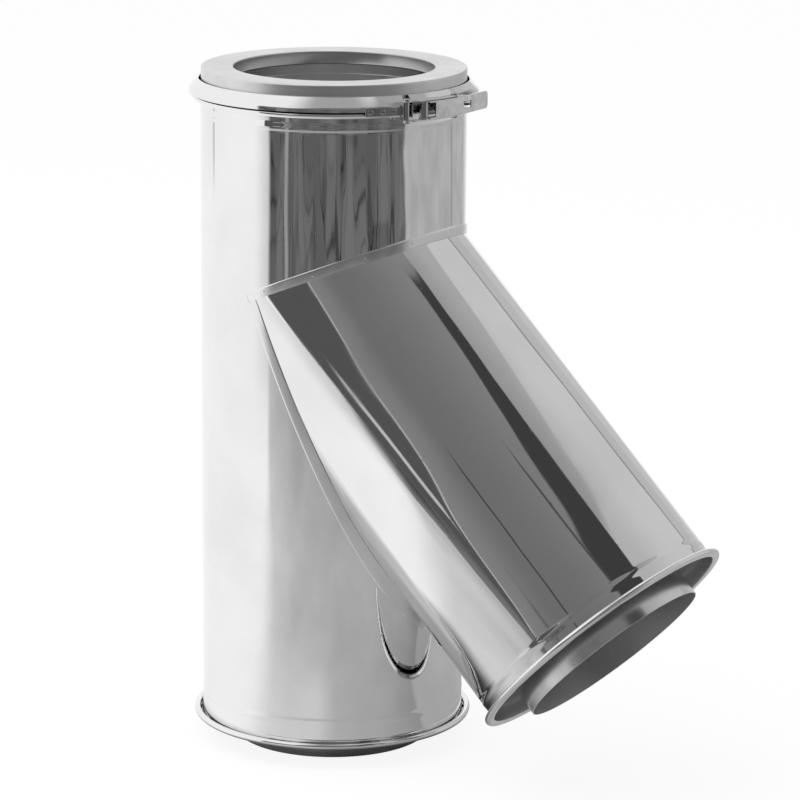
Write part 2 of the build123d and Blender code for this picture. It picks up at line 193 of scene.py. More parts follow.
# Turned sheet metal
def turned_shell_tree():
    """Turns an outline round its axis, and cuts the lower end off along the mitre of the joint."""
    tree = bpy.data.node_groups.new("turned shell", "GeometryNodeTree")
    sockets = tree.interface
    sockets.new_socket("Outline", in_out="INPUT", socket_type="NodeSocketGeometry")
    for name in ("Start", "Sweep", "Mitre Near", "Mitre Far", "Ripple"):
        sockets.new_socket(name, in_out="INPUT", socket_type="NodeSocketFloat")
    for name in ("Steps", "Seed"):
        sockets.new_socket(name, in_out="INPUT", socket_type="NodeSocketInt")
    sockets.new_socket("Finish", in_out="INPUT", socket_type="NodeSocketMaterial")
    sockets.new_socket("Shell", in_out="OUTPUT", socket_type="NodeSocketGeometry")
    given = tree.nodes.new("NodeGroupInput").outputs

    count = put(tree, "GeometryNodeAttributeDomainSize", {0: given["Outline"]}).outputs["Point Count"]
    columns = sum_of(tree, "ADD", given["Steps"], 1.0)
    rows = sum_of(tree, "ADD", count, 1.0)
    sizes = {"Size X": 1.0, "Size Y": 1.0, "Vertices X": columns, "Vertices Y": rows}
    grid = put(tree, "GeometryNodeMeshGrid", sizes).outputs[0]

    place = put(tree, "ShaderNodeSeparateXYZ", {0: put(tree, "GeometryNodeInputPosition").outputs[0]})
    turn_share = sum_of(tree, "ADD", place.outputs[0], 0.5)
    row = sum_of(tree, "ROUND", sum_of(tree, "MULTIPLY", sum_of(tree, "ADD", place.outputs[1], 0.5), count))
    row = sum_of(tree, "FLOORED_MODULO", row, count)
    values = {0: given["Outline"], "Index": row}
    point = put(tree, "GeometryNodeSampleIndex", values, data_type="FLOAT_VECTOR")
    tree.links.new(put(tree, "GeometryNodeInputPosition").outputs[0], point.inputs["Value"])
    outline = put(tree, "ShaderNodeSeparateXYZ", {0: point.outputs[0]})

    angle = sum_of(tree, "MULTIPLY_ADD", turn_share, given["Sweep"], given["Start"])
    towards = sum_of(tree, "COSINE", angle)
    across = sum_of(tree, "SINE", angle)
    plain_u = sum_of(tree, "MULTIPLY", outline.outputs[0], towards)
    near = sum_of(tree, "MULTIPLY", plain_u, given["Mitre Near"])
    far = sum_of(tree, "MULTIPLY", sum_of(tree, "MULTIPLY", plain_u, -1.0), given["Mitre Far"])
    height = sum_of(tree, "MAXIMUM", outline.outputs[2], sum_of(tree, "MAXIMUM", near, far))
    around = put(tree, "ShaderNodeCombineXYZ", {0: towards, 1: across, 2: height}).outputs[0]
    waves = (1.6, 1.6, 3.5)
    scaled = put(tree, "ShaderNodeVectorMath", {0: around, 1: waves}, operation="MULTIPLY").outputs[0]
    values = {"Vector": scaled, "W": given["Seed"], "Scale": 1.0, "Detail": 1.0}
    wave = put(tree, "ShaderNodeTexNoise", values, noise_dimensions="4D").outputs[0]
    ripple = sum_of(tree, "MULTIPLY", sum_of(tree, "SUBTRACT", wave, 0.5), given["Ripple"])
    radius = sum_of(tree, "ADD", outline.outputs[0], ripple)
    u = sum_of(tree, "MULTIPLY", radius, towards)
    v = sum_of(tree, "MULTIPLY", radius, across)
    position = put(tree, "ShaderNodeCombineXYZ", {0: u, 1: v, 2: height}).outputs[0]

    shell = put(tree, "GeometryNodeSetPosition", {0: grid, "Position": position}).outputs[0]
    shell = put(tree, "GeometryNodeMergeByDistance", {0: shell, "Distance": weld_reach}).outputs[0]
    shell = put(tree, "GeometryNodeRealizeInstances", {0: shell}).outputs[0]
    shell = put(tree, "GeometryNodeSetMaterial", {0: shell, "Material": given["Finish"]}).outputs[0]
    put(tree, "NodeGroupOutput", {0: shell})
    return tree


def grown(obj, tree, **values):
    """Runs a tree on an object's mesh and keeps the result as a plain mesh."""
    modifier = obj.modifiers.new(tree.name, "NODES")
    modifier.node_group = tree
    for socket in tree.interface.items_tree:
        name = socket.name.replace(" ", "_")
        if name in values:
            modifier[socket.identifier] = values[name]
    graph = bpy.context.evaluated_depsgraph_get()
    mesh = bpy.data.meshes.new_from_object(obj.evaluated_get(graph), depsgraph=graph)
    obj.modifiers.clear()
    obj.data = mesh
    mesh.materials.clear()
    mesh.materials.append(values["Finish"])
    mesh.polygons.foreach_set("material_index", [0] * len(mesh.polygons))
    return obj


def smoothed(mesh, sharp=35):
    """Shades a mesh smooth, apart from the edges that turn more than an angle in degrees."""
    mesh.shade_smooth()
    mesh.set_sharp_from_angle(angle=radians(sharp))


def axis_frame(origin, along, towards):
    """Matrix that takes a shell's own axes to its place: z along the pipe, x towards the branch."""
    z, x = Vector(along).normalized(), Vector(towards).normalized()
    turn = Matrix((x, z.cross(x), z)).transposed().to_4x4()
    return Matrix.Translation(origin) @ turn


def inner_side_finish(piece, where, finish, wall_radius=casing_outer):
    """Gives the wall's inner side, which faces the axis, a finish of its own."""
    piece.data.materials.append(finish)
    back = where.inverted()
    inside = wall_radius - 0.2 * MM
    faces_axis = -0.7
    for face in piece.data.polygons:
        middle, normal = back @ face.center, back.to_3x3() @ face.normal
        middle.z = 0.0
        if middle.length < inside and normal.dot(middle.normalized()) < faces_axis:
            face.material_index = len(piece.data.materials) - 1


shell_tree = turned_shell_tree()


def turned(name, outline, where, finish, start=0.0, sweep=2 * pi, near=0.0, far=0.0, ripple=0.0, seed=0):
    """A turned piece in its place, ready to ride.

    near and far are the slopes of the joint's cut on the branch's side and on the other side.
    """
    mesh = bpy.data.meshes.new(name)
    count = len(outline)
    mesh.from_pydata(
        [(radius, 0, height) for radius, height in outline],
        [(row, (row + 1) % count) for row in range(count)],
        [],
    )
    piece = placed(name, mesh)
    grown(
        piece,
        shell_tree,
        Start=start,
        Sweep=sweep,
        Mitre_Near=near,
        Mitre_Far=far,
        Ripple=ripple,
        Steps=ROUND_STEPS,
        Seed=seed,
        Finish=finish,
    )
    sheet = bmesh.new()
    sheet.from_mesh(piece.data)
    bmesh.ops.remove_doubles(sheet, verts=sheet.verts, dist=weld_reach)
    bmesh.ops.dissolve_degenerate(sheet, edges=sheet.edges, dist=0.001 * MM)
    bmesh.ops.holes_fill(sheet, edges=[edge for edge in sheet.edges if edge.is_boundary])
    bmesh.ops.recalc_face_normals(sheet, faces=sheet.faces)
    bmesh.ops.transform(sheet, matrix=where, verts=sheet.verts)
    sheet.to_mesh(piece.data)
    sheet.free()
    smoothed(piece.data)
    return piece


def inner_faces(body):
    """Faces buried where two parts of one sheet meet.

    They lie double, or all their edges but the sheet's thickness are shared by three or more faces.
    """
    seen, buried = {}, set()
    for face in body.faces:
        corners = frozenset(face.verts)
        if corners in seen:
            buried |= {seen[corners], face}
        seen[corners] = face
    for face in body.faces:
        crowded = [edge for edge in face.edges if len(edge.link_faces) > 2]
        free = [edge for edge in face.edges if len(edge.link_faces) <= 2]
        if len(crowded) >= 2 and all(edge.calc_length() < 1.2 * casing_sheet for edge in free):
            buried.add(face)
    return list(buried)


def joined(name, *parts):
    """Several meshes made one piece, with no faces buried inside it."""
    body = bmesh.new()
    finishes = list(dict.fromkeys(part.data.materials[0] for part in parts))
    for part in parts:
        for face in part.data.polygons:
            face.material_index = finishes.index(part.data.materials[0])
        body.from_mesh(part.data)
        bpy.data.objects.remove(part)
    bmesh.ops.remove_doubles(body, verts=body.verts, dist=weld_reach)
    bmesh.ops.delete(body, geom=inner_faces(body), context="FACES_ONLY")
    bmesh.ops.delete(body, geom=[edge for edge in body.edges if not edge.link_faces], context="EDGES")
    mesh = bpy.data.meshes.new(name)
    body.to_mesh(mesh)
    body.free()
    for finish in finishes:
        mesh.materials.append(finish)
    smoothed(mesh)
    return placed(name, mesh)


# Finishes
def new_finish(name):
    """A material with its node tree, its surface shader and the piece's own coordinates."""
    finish = bpy.data.materials.new(name)
    finish.use_nodes = True
    tree = finish.node_tree
    surface = tree.nodes["Principled BSDF"]
    place = put(tree, "ShaderNodeTexCoord").outputs["Object"]
    return finish, tree, surface, place


def stretched(tree, place, scale, turn=(0.0, 0.0, 0.0), shift=(0.0, 0.0, 0.0)):
    """Object coordinates turned to a piece's own axis and scaled, small numbers along the grain."""
    centred = put(tree, "ShaderNodeMapping", {0: place, 1: shift, 2: turn})
    return put(tree, "ShaderNodeMapping", {0: centred.outputs[0], 3: scale}).outputs[0]


def noise(tree, vector, scale, detail=2.0, roughness=0.5):
    """Grey noise over a vector, about 0.5 on average."""
    values = {"Vector": vector, "Scale": scale, "Detail": detail, "Roughness": roughness}
    return put(tree, "ShaderNodeTexNoise", values).outputs[0]


def bumped(tree, layers):
    """Bump nodes one on another: each layer is its height, its depth in metres."""
    normal = None
    for height, depth in layers:
        values = {"Height": height, "Distance": depth, "Strength": 1.0}
        if normal is not None:
            values["Normal"] = normal
        normal = put(tree, "ShaderNodeBump", values).outputs[0]
    return normal


def mirror_sheet(name, turn=0.0, tone=0.86, waviness=1.0, haze=0.035, marks=None):
    """Bright annealed sheet: nearly a mirror, wavy along the rolling direction, faintly scuffed."""
    finish, tree, surface, place = new_finish(name)
    own_axis = {"turn": (0.0, turn, 0.0), "shift": (0.0, 0.0, -crossing_height if turn else 0.0)}
    grain = stretched(tree, place, (1.0, 1.0, 0.07), **own_axis)
    rolls = noise(tree, grain, 55.0, 1.0)
    wobble = noise(tree, stretched(tree, place, (1.0, 1.0, 0.45), **own_axis), 34.0, 1.0)
    lines = noise(tree, grain, 900.0, 3.0, 0.6)
    dents = noise(tree, stretched(tree, place, (1.0, 1.0, 0.6)), 11.0, 0.0)
    smudge = noise(tree, place, 11.0, 4.0, 0.6)
    askew = stretched(tree, place, (1.0, 1.0, 0.25), turn=(0.3, turn + 0.2, 0.0))
    scuffs = noise(tree, askew, 420.0, 2.0, 0.7)
    layers = [
        (dents, 0.9 * MM * waviness),
        (rolls, 0.18 * MM * waviness),
        (wobble, 0.14 * MM * waviness),
        (lines, 0.0022 * MM),
        (spread_of(tree, scuffs, 0.64, 0.76), 0.003 * MM),
    ]
    tree.links.new(bumped(tree, layers), surface.inputs["Normal"])
    shade = spread_of(tree, smudge, 0.35, 0.7)
    tint = blend_of(tree, "MIX", grey(tone), grey(tone * 0.93), shade)
    # Optional mask of painted shade, which darkens the tint where it is 1
    if marks:
        tint = blend_of(tree, "MIX", tint, grey(tone * 0.2), marks(tree, place))
    tree.links.new(tint, surface.inputs["Base Color"])
    tree.links.new(spread_of(tree, smudge, 0.4, 0.75, haze, haze + 0.06), surface.inputs["Roughness"])
    surface.inputs["Metallic"].default_value = 1.0
    return finish


def turned_satin(name, tone, rough, turn=0.0, centre=(0.0, 0.0, 0.0), grooves=0.005 * MM):
    """Satin sheet spun on a lathe: fine rings round the axis."""
    finish, tree, surface, place = new_finish(name)
    own = put(tree, "ShaderNodeMapping", {0: place, 1: centre, 2: (0.0, turn, 0.0)}).outputs[0]
    parts = put(tree, "ShaderNodeSeparateXYZ", {0: own})
    flat = put(tree, "ShaderNodeCombineXYZ", {0: parts.outputs[0], 1: parts.outputs[1]}).outputs[0]
    away = put(tree, "ShaderNodeVectorMath", {0: flat}, operation="LENGTH").outputs["Value"]
    rings = put(tree, "ShaderNodeCombineXYZ", {0: away, 1: parts.outputs[2]}).outputs[0]
    lines = noise(tree, rings, 1500.0, 3.0, 0.6)
    patches = noise(tree, place, 22.0, 3.0, 0.55)
    tree.links.new(bumped(tree, [(lines, grooves), (patches, 10 * grooves)]), surface.inputs["Normal"])
    tint = blend_of(tree, "MIX", grey(tone), grey(tone * 0.88), spread_of(tree, patches, 0.35, 0.7))
    tree.links.new(tint, surface.inputs["Base Color"])
    spread = 12 * grooves / MM
    dullness = spread_of(tree, lines, 0.3, 0.7, rough - spread, rough + spread)
    tree.links.new(dullness, surface.inputs["Roughness"])
    surface.inputs["Metallic"].default_value = 1.0
    return finish


def pressed_steel(name, tone, rough, grain=(1.0, 1.0, 0.2)):
    """Small pressed or turned latch part, with tool marks and soft stains."""
    finish, tree, surface, place = new_finish(name)
    marks = noise(tree, stretched(tree, place, grain), 1400.0, 2.0, 0.6)
    stains = noise(tree, place, 160.0, 3.0, 0.6)
    tree.links.new(bumped(tree, [(marks, 0.006 * MM), (stains, 0.02 * MM)]), surface.inputs["Normal"])
    tint = blend_of(tree, "MIX", grey(tone), grey(tone * 0.8), spread_of(tree, stains, 0.4, 0.75))
    tree.links.new(tint, surface.inputs["Base Color"])
    tree.links.new(spread_of(tree, stains, 0.35, 0.7, rough, rough + 0.12), surface.inputs["Roughness"])
    surface.inputs["Metallic"].default_value = 1.0
    return finish


def mineral_wool(name):
    """Felted brown fibres, seen only where a pipe is cut open."""
    finish, tree, surface, place = new_finish(name)
    fibres = noise(tree, stretched(tree, place, (1.0, 1.0, 0.15)), 700.0, 5.0, 0.7)
    clumps = noise(tree, place, 60.0, 3.0)
    tree.links.new(bumped(tree, [(fibres, 0.4 * MM), (clumps, 1.0 * MM)]), surface.inputs["Normal"])
    pale, dark = (0.52, 0.46, 0.30, 1.0), (0.32, 0.27, 0.16, 1.0)
    tree.links.new(blend_of(tree, "MIX", pale, dark, fibres), surface.inputs["Base Color"])
    surface.inputs["Roughness"].default_value = 0.95
    return finish


def painted_shade_under_lever(tree, place):
    """Painted shade on the band: darker on its flat behind the latch, and lower down under the staple."""
    parts = put(tree, "ShaderNodeSeparateXYZ", {0: place}).outputs
    fray = sum_of(tree, "SUBTRACT", noise(tree, place, 300.0, 2.0), 0.5)
    frayed_bearing = sum_of(tree, "ADD", turn_of(tree, parts), sum_of(tree, "MULTIPLY", fray, 6.0))
    low, high, soft = band_middle - 7.5 * MM, band_middle + 6.0 * MM, 1.0 * MM
    lower = low - 6 * MM
    on_flat = window(tree, parts[2], low, high, soft)
    on_leg = window(tree, parts[2], lower, high, soft)
    # Painted shade: behind the latch plates, and under the staple where the lever's hole shows
    behind_plates = all_of(tree, window(tree, frayed_bearing, 60.0, 106.0, 7.0), on_flat)
    under_staple = all_of(tree, window(tree, frayed_bearing, 92.0, 104.0, 4.0), on_leg)
    return sum_of(tree, "MAXIMUM", behind_plates, under_staple)


run_sheet = mirror_sheet("bright_run_sheet", haze=0.018)
branch_sheet = mirror_sheet("bright_branch_sheet", turn=branch_tilt, haze=0.03)
lap_sheet_finish = mirror_sheet("rubbed_lap_sheet", turn=branch_tilt, haze=0.2)
# The band's finish carries painted shade behind the latch plates and under the staple
band_sheet_finish = mirror_sheet("bright_band_sheet", waviness=0.25, haze=0.07, marks=painted_shade_under_lever)
ring_satin = turned_satin("satin_top_ring", 0.74, 0.36)
# Painted shade: a darker copy of the ring's satin for the lip's inner side
shaded_lip_satin = turned_satin("dull_ring_lip", 0.52, 0.3, grooves=0.002 * MM)
recess_satin = turned_satin("satin_recess_ring", 0.62, 0.38)
inner_satin = turned_satin("dull_inner_sheet", 0.6, 0.34)
liner_satin = turned_satin("plain_liner_sheet", 0.8, 0.26, grooves=0.001 * MM)
branch_centre = (0.0, 0.0, -crossing_height)
round_branch = {"turn": branch_tilt, "centre": branch_centre, "grooves": 0.001 * MM}
branch_liner_satin = turned_satin("plain_branch_liner_sheet", 0.84, 0.18, **round_branch)
branch_bore_satin = turned_satin("dull_branch_bore", 0.74, 0.4, **round_branch)
latch_steel = pressed_steel("pressed_latch_steel", 0.62, 0.08)
lever_steel = pressed_steel("pressed_lever_steel", 0.76, 0.09)
pin_steel = pressed_steel("turned_pin_steel", 0.58, 0.1, (1.0, 1.0, 6.0))
staple_steel = pressed_steel("dark_staple_wire", 0.1, 0.3, (1.0, 1.0, 1.0))
rivet_steel = pressed_steel("dark_rivet_steel", 0.34, 0.25, (1.0, 1.0, 1.0))
wool = mineral_wool("brown_mineral_wool")

# Casings: two lengths of the run and the branch, each cut along the joint
along_branch = (sin(branch_tilt), 0, -cos(branch_tilt))
out_of_branch = (cos(branch_tilt), 0, sin(branch_tilt))
crossing = Vector((0, 0, crossing_height))
up_the_run = axis_frame(crossing, (0, 0, 1), (1, 0, 0))
down_the_run = axis_frame(crossing, (0, 0, -1), (1, 0, 0))
down_the_branch = axis_frame(crossing, along_branch, out_of_branch)
steep, shallow = 1 / tan(mitre_turn), tan(mitre_turn)

to_top = top_rim - crossing_height
to_bottom = crossing_height - bottom_rim
top_bead = to_top - 13 * MM
bottom_bead = to_bottom - 20 * MM
branch_bead = branch_reach - 14 * MM
sheet_ripple = 0.12 * MM

upper_run = turned(
    "upper_run", rimmed_casing(to_top, [top_bead]), up_the_run, run_sheet, near=shallow, ripple=sheet_ripple
)
lower_run = turned(
    "lower_run",
    rimmed_casing(to_bottom, [bottom_bead]),
    down_the_run,
    run_sheet,
    near=steep,
    ripple=sheet_ripple,
    seed=3,
)
run_casing = joined("run_casing_sheet", upper_run, lower_run)
inner_side_finish(run_casing, up_the_run, inner_satin)
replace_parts(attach(run_casing, "fitting"), "run_casing")

# The lap is a strip of the branch's sheet that lies on the run along the joint
lap_sheet = 0.7 * MM
lap_width = 7.0 * MM


def strip_on_run(name, finish, low, high):
    """Raised strip on the run's wall between two curves, with rounded long edges and tapered ends.

    low and high give the heights of its two edges at a point's distance towards the branch.
    """
    # Across the strip: share of its width, and share of the sheet's thickness over the run's wall
    section = [(0.0, -0.3), (0.0, 0.97), (0.1, 1.0), (0.3, 1.03), (0.7, 1.03)]
    section += [(0.84, 1.0), (0.92, 0.9), (0.98, 0.5), (1.0, -0.3)]
    reach_round = radians(95)
    end_taper, thin_end = 12, 0.02
    sheet = bmesh.new()
    rows = []
    for step in range(LAP_STEPS + 1):
        angle = reach_round * (2 * step / LAP_STEPS - 1)
        taper = min(1.0, (1 - abs(2 * step / LAP_STEPS - 1)) * end_taper + thin_end)
        row = []
        for share, lift in section:
            radius = casing_outer + lap_sheet * lift * (taper if lift > 0 else 1)
            x, y = radius * cos(angle), radius * sin(angle)
            height = low(x) + (high(x) - low(x)) * share
            row.append(sheet.verts.new((x, y, crossing_height + height)))
        rows.append(row)
    count = len(section)
    for first, second in zip(rows, rows[1:]):
        for place in range(count):
            after = (place + 1) % count
            sheet.faces.new((first[place], second[place], second[after], first[after]))
    sheet.faces.new(rows[0])
    sheet.faces.new(rows[-1][::-1])
    bmesh.ops.recalc_face_normals(sheet, faces=sheet.faces)
    mesh = bpy.data.meshes.new(name)
    sheet.to_mesh(mesh)
    sheet.free()
    mesh.materials.append(finish)
    smoothed(mesh, 60)
    return placed(name, mesh)


# Heights of the joint and of the strip's outer edge over the crossing, for a point x towards the branch
lap_over = lap_width / cos(mitre_turn)
lap_under = lap_width / sin(mitre_turn)
upper_lap = strip_on_run(
    "upper_lap", lap_sheet_finish, lambda x: abs(x) * shallow, lambda x: x * shallow + lap_over
)
lower_lap = strip_on_run(
    "lower_lap",
    lap_sheet_finish,
    lambda x: -x * steep if x > 0 else x * shallow,
    lambda x: -x * steep - lap_under,
)
branch_wall = turned(
    "branch_wall",
    rimmed_casing(branch_reach, [branch_bead], rim_outer - sheet_ripple),
    down_the_branch,
    branch_sheet,
    near=shallow,
    far=steep,
    ripple=sheet_ripple,
    seed=5,
)
branch_casing = joined("branch_casing_sheet", branch_wall, upper_lap, lower_lap)
inner_side_finish(branch_casing, down_the_branch, inner_satin)
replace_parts(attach(branch_casing, "fitting"), "branch_casing")


# Liners: a socket at the top of the run, and spigots that start a step behind the casings' mouths
def walled(outside):
    """Closed outline of a liner wall, from its outer side."""
    inside = [(radius - liner_sheet, height) for radius, height in reversed(outside)]
    return rows_between(outside) + rows_between(inside)


def spigot_outline(mouth, reach):
    """Outline of a liner that steps in to a spigot and has its free end's edge broken."""
    shoulder = mouth - 19.4 * MM
    outside = [(liner_outer, 0), (liner_outer, shoulder - 3 * MM), (spigot_outer, shoulder)]
    return walled(outside + [(spigot_outer, reach - 0.2 * MM), (spigot_outer - 0.15 * MM, reach)])


def rows_between(points, step=12 * MM):
    """Points set along straight runs so that no face grows long."""
    rows = [points[0]]
    for (r0, h0), (r1, h1) in zip(points, points[1:]):
        count = max(1, round(abs(h1 - h0) / step))
        rows += [(r0 + (r1 - r0) * k / count, h0 + (h1 - h0) * k / count) for k in range(1, count + 1)]
    return rows


socket_depth = 45 * MM
mouth_depth = 17 * MM
socket_low = ring_top - socket_depth - crossing_height
mouth_low = ring_top - mouth_depth - crossing_height
socket_wall = socket_inner + liner_sheet
mouth_wall = socket_wall + 0.7 * MM
socket_outside = [
    (liner_outer, 0),
    (liner_outer, socket_low - 4 * MM),
    (socket_wall, socket_low),
    (socket_wall, mouth_low - liner_sheet),
    (mouth_wall, mouth_low),
    (mouth_wall, socket_top - crossing_height),
]
upper_liner = turned("upper_liner", walled(socket_outside), up_the_run, liner_satin, near=shallow)
lower_liner = turned(
    "lower_liner", spigot_outline(to_bottom, crossing_height), down_the_run, liner_satin, near=steep
)
run_liner = joined("run_liner_sheet", upper_liner, lower_liner)
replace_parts(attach(run_liner, "fitting"), "run_liner")
branch_liner = turned(
    "branch_liner_sheet",
    spigot_outline(branch_reach, branch_end),
    down_the_branch,
    branch_liner_satin,
    near=shallow,
    far=steep,
)
inner_side_finish(branch_liner, down_the_branch, branch_bore_satin, liner_outer)
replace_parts(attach(branch_liner, "fitting"), "branch_liner")

# Closure rings: the top one stands out of the rim, the other two lie back between the walls
upright_axis = axis_frame((0, 0, 0), (0, 0, 1), (1, 0, 0))
corner = 1.1 * MM
lip_low = ring_top - 10 * MM
lip_roll = 1.3 * MM
skirt_low = top_rim - 9 * MM
outer_bend = (ring_outer - corner, ring_top - corner)
inner_bend = (socket_inner + corner, ring_top - corner)
ring_outline = [(ring_outer, skirt_low)]
ring_outline += arc(outer_bend, corner, 0, 90, 8)
ring_outline += arc(inner_bend, corner, 90, 180, 8)
ring_outline += [(socket_inner, lip_low + lip_roll), (socket_inner - lip_roll / 3, lip_low + lip_roll / 2)]
ring_outline += [(socket_inner - lip_roll / 4, lip_low), (socket_inner + ring_sheet, lip_low)]
ring_outline += arc(inner_bend, corner - ring_sheet, 180, 90, 6)
ring_outline += arc(outer_bend, corner - ring_sheet, 90, 0, 6)
ring_outline += [(ring_outer - ring_sheet, skirt_low)]
top_ring = turned("top_ring_sheet", ring_outline, upright_axis, ring_satin)
lip_reach = 1.5 * MM
# The lip's inner side takes the darker satin as painted shade
inner_side_finish(top_ring, upright_axis, shaded_lip_satin, socket_inner + lip_reach)
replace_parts(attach(top_ring, "fitting"), "top_ring")


def recess_ring_outline(mouth):
    """A flat ring between the two walls of a spigot end with a skirt on the casing."""
    face = mouth - 20 * MM
    skirt_end = face - 9 * MM
    bend = 1.2 * MM
    centre = (ring_outer - bend, face - bend)
    inner = liner_outer + 0.1 * MM
    outline = [(inner, face), (ring_outer - bend, face)]
    outline += arc(centre, bend, 90, 0, 6)[1:]
    outline += [(ring_outer, skirt_end), (ring_outer - ring_sheet, skirt_end)]
    outline += arc(centre, bend - ring_sheet, 0, 90, 5)
    outline += [(inner, face - ring_sheet)]
    return outline


bottom_ring = turned("bottom_ring_sheet", recess_ring_outline(to_bottom), down_the_run, recess_satin)
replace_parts(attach(bottom_ring, "fitting"), "bottom_ring")
branch_ring = turned("branch_ring_sheet", recess_ring_outline(branch_reach), down_the_branch, recess_satin)
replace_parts(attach(branch_ring, "fitting"), "branch_ring")

# Locking band: a flat between two legs that grip the rims
band_sheet = 0.8 * MM
band_leg = 6.6 * MM
band_corner = 2.0 * MM
band_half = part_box("locking_band")[1].z - band_middle - band_leg
band_start = radians(66.6)
band_gap = radians(3.3)


def band_side(inset):
    """One side of the band's section, from its lower leg to its upper one."""
    bend = band_corner - inset
    outer = band_outer - band_corner
    along = band_half - band_corner * tan(radians(22.5))
    low, high = (outer, -along), (outer, along)
    leg_start = (low[0] + bend * cos(radians(-45)), low[1] + bend * sin(radians(-45)))
    foot = (leg_start[0] - band_leg, leg_start[1] - band_leg)
    side = [foot] + arc(low, bend, -45, 0, 6) + arc(high, bend, 0, 45, 6)
    return side + [(foot[0], -foot[1])]


band_outline = band_side(0.0) + band_side(band_sheet)[::-1]
band_axis = axis_frame((0, 0, band_middle), (0, 0, 1), (0, -1, 0))
band = turned(
    "locking_band_sheet",
    band_outline,
    band_axis,
    band_sheet_finish,
    start=band_start,
    sweep=2 * pi - band_gap,
)
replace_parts(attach(band, "fitting"), "locking_band")


# Latch
def softened(node, finish, width, name):
    """The CAD part's own shape with its edges broken by a small bevel and its flats shaded flat."""
    mesh = nodes[node].data.copy()
    mesh.transform(nodes[node].matrix_world)
    shape = bmesh.new()
    shape.from_mesh(mesh)
    bmesh.ops.remove_doubles(shape, verts=shape.verts, dist=0.005 * MM)
    bmesh.ops.dissolve_degenerate(shape, edges=shape.edges, dist=0.01 * MM)
    bmesh.ops.dissolve_limit(shape, angle_limit=radians(1.0), verts=shape.verts, edges=shape.edges)
    shape.to_mesh(mesh)
    shape.free()
    mesh.materials.clear()
    mesh.materials.append(finish)
    smoothed(mesh, 32)
    piece = placed(name, mesh)
    bevel = piece.modifiers.new("broken edges", "BEVEL")
    bevel.width = width
    bevel.segments = 3
    bevel.limit_method = "ANGLE"
    bevel.angle_limit = radians(30)
    flats = piece.modifiers.new("flat faces", "WEIGHTED_NORMAL")
    flats.keep_sharp = True
    graph = bpy.context.evaluated_depsgraph_get()
    solid = bpy.data.meshes.new_from_object(piece.evaluated_get(graph), depsgraph=graph)
    piece.modifiers.clear()
    piece.data = solid
    return piece


latch_parts = {
    "catch_bracket": ("fitting", "latch_steel", latch_steel, 0.22 * MM),
    "fulcrum_bracket": ("fitting", "latch_steel", latch_steel, 0.22 * MM),
    "pivot_pin": ("lever_arm", "pin_steel", pin_steel, 0.3 * MM),
    "lever": ("lever_arm", "lever_steel", lever_steel, 0.25 * MM),
    "link_plate_upper": ("link", "link_steel", lever_steel, 0.22 * MM),
    "link_plate_lower": ("link", "link_steel", lever_steel, 0.22 * MM),
    "link_pin": ("link", "pin_steel", pin_steel, 0.35 * MM),
    "catch_pin": ("link", "pin_steel", pin_steel, 0.35 * MM),
    "seal_staple": ("fitting", "staple_wire", staple_steel, 0.1 * MM),
}
for node, (body, slot, finish, width) in latch_parts.items():
    part = softened(node, finish, width, node + "_dressed")
    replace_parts(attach(part, body), node)

# The wool keeps the CAD shape
for node in ("run_insulation", "branch_insulation"):
    nodes[node].data.materials.clear()
    nodes[node].data.materials.append(wool)

# Rivets and spot welds
def heads_tree():
    """Low domed heads at the points of a mesh, each facing straight out from the run."""
    tree = bpy.data.node_groups.new("domed heads", "GeometryNodeTree")
    sockets = tree.interface
    sockets.new_socket("Places", in_out="INPUT", socket_type="NodeSocketGeometry")
    for name in ("Radius", "Rise", "Unevenness"):
        sockets.new_socket(name, in_out="INPUT", socket_type="NodeSocketFloat")
    sockets.new_socket("Seed", in_out="INPUT", socket_type="NodeSocketInt")
    sockets.new_socket("Finish", in_out="INPUT", socket_type="NodeSocketMaterial")
    sockets.new_socket("Heads", in_out="OUTPUT", socket_type="NodeSocketGeometry")
    given = tree.nodes.new("NodeGroupInput").outputs
    dome = put(tree, "GeometryNodeMeshUVSphere", {"Segments": 32, "Rings": 16, "Radius": 1.0}).outputs[0]
    values = {0: given["Radius"], 1: given["Radius"], 2: given["Rise"]}
    size = put(tree, "ShaderNodeCombineXYZ", values).outputs[0]
    dome = put(tree, "GeometryNodeTransform", {0: dome, "Scale": size}).outputs[0]
    place = put(tree, "GeometryNodeInputPosition").outputs[0]
    level = (1.0, 1.0, 0.0)
    outward = put(tree, "ShaderNodeVectorMath", {0: place, 1: level}, operation="MULTIPLY").outputs[0]
    facing = put(tree, "FunctionNodeAlignRotationToVector", {"Vector": outward}, axis="Z").outputs[0]
    low = sum_of(tree, "SUBTRACT", 1.0, given["Unevenness"])
    values = {2: low, 3: 1.0, "Seed": given["Seed"]}
    growth = put(tree, "FunctionNodeRandomValue", values, data_type="FLOAT").outputs[1]
    values = {"Points": given["Places"], "Instance": dome, "Rotation": facing, "Scale": growth}
    heads = put(tree, "GeometryNodeInstanceOnPoints", values).outputs[0]
    heads = put(tree, "GeometryNodeRealizeInstances", {0: heads}).outputs[0]
    heads = put(tree, "GeometryNodeSetShadeSmooth", {0: heads}).outputs[0]
    heads = put(tree, "GeometryNodeSetMaterial", {0: heads, "Material": given["Finish"]}).outputs[0]
    put(tree, "NodeGroupOutput", {0: heads})
    return tree


domed_heads = heads_tree()


def heads(name, places, radius, rise, finish, unevenness=0.0):
    """Domed heads at points on the run, some smaller than others by up to the unevenness."""
    mesh = bpy.data.meshes.new(name)
    mesh.from_pydata(places, [], [])
    sizes = {"Radius": radius, "Rise": rise, "Unevenness": unevenness, "Seed": 1}
    return grown(placed(name, mesh), domed_heads, Finish=finish, **sizes)


def round_the_run(radius, angle, height):
    """A point on the run, its angle counted from the -Y side towards the branch."""
    return (radius * sin(radians(angle)), -radius * cos(radians(angle)), height)


